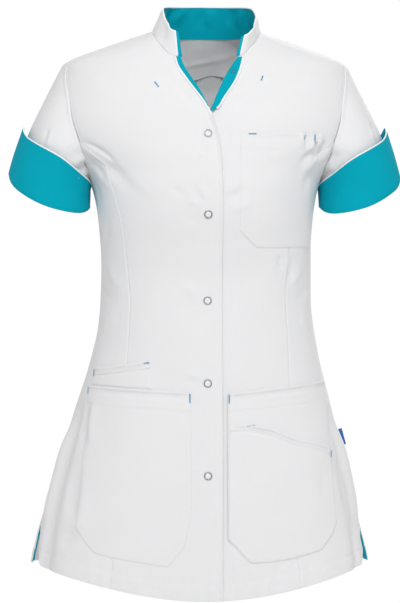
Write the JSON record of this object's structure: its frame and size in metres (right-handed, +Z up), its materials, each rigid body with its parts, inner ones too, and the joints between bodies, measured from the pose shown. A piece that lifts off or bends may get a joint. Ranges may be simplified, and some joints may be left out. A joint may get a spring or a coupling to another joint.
{
  "type": "medical tunic",
  "caption": "Fitted short-sleeved work tunic with stand collar, snap front, patch pockets and contrasting turned-back cuffs, in the hollow shape it has when worn.",
  "frame": {"origin": "centre of the base of the neck, at the height where the shoulder seams meet the collar", "axes": "+Z up, the front towards -Y, the wearer's left towards +X"},
  "size_m": [0.5116, 0.2442, 0.7724],
  "materials": {
    "white_cloth": "matt white twill",
    "teal_cloth": "matt turquoise twill",
    "blue_label": "woven ribbon",
    "ring_steel": "satin metal",
    "teal_snap": "turquoise plastic"
  },
  "bodies": {
    "root": {"front_right": "white_cloth", "front_left": "white_cloth", "front_right_side": "white_cloth", "front_left_side": "white_cloth", "back": "white_cloth", "sleeve_right": "white_cloth", "sleeve_left": "white_cloth", "collar_outer": "white_cloth", "back_neck_facing": "white_cloth", "chest_pocket": "white_cloth", "hip_pocket_right": "white_cloth", "hip_pocket_left": "white_cloth", "slant_pocket": "white_cloth", "phone_pocket": "white_cloth", "cuff_right": "teal_cloth", "cuff_left": "teal_cloth", "facing_right": "teal_cloth", "facing_left": "teal_cloth", "slit_facing_right": "teal_cloth", "slit_facing_left": "teal_cloth", "collar_inner": "teal_cloth", "side_label": "blue_label", "snap_1": "ring_steel", "snap_2": "ring_steel", "snap_3": "ring_steel", "snap_4": "ring_steel", "snap_5": "ring_steel", "collar_snap_socket": "teal_snap", "collar_snap_stud": "teal_snap"}
  },
  "joints": []
}
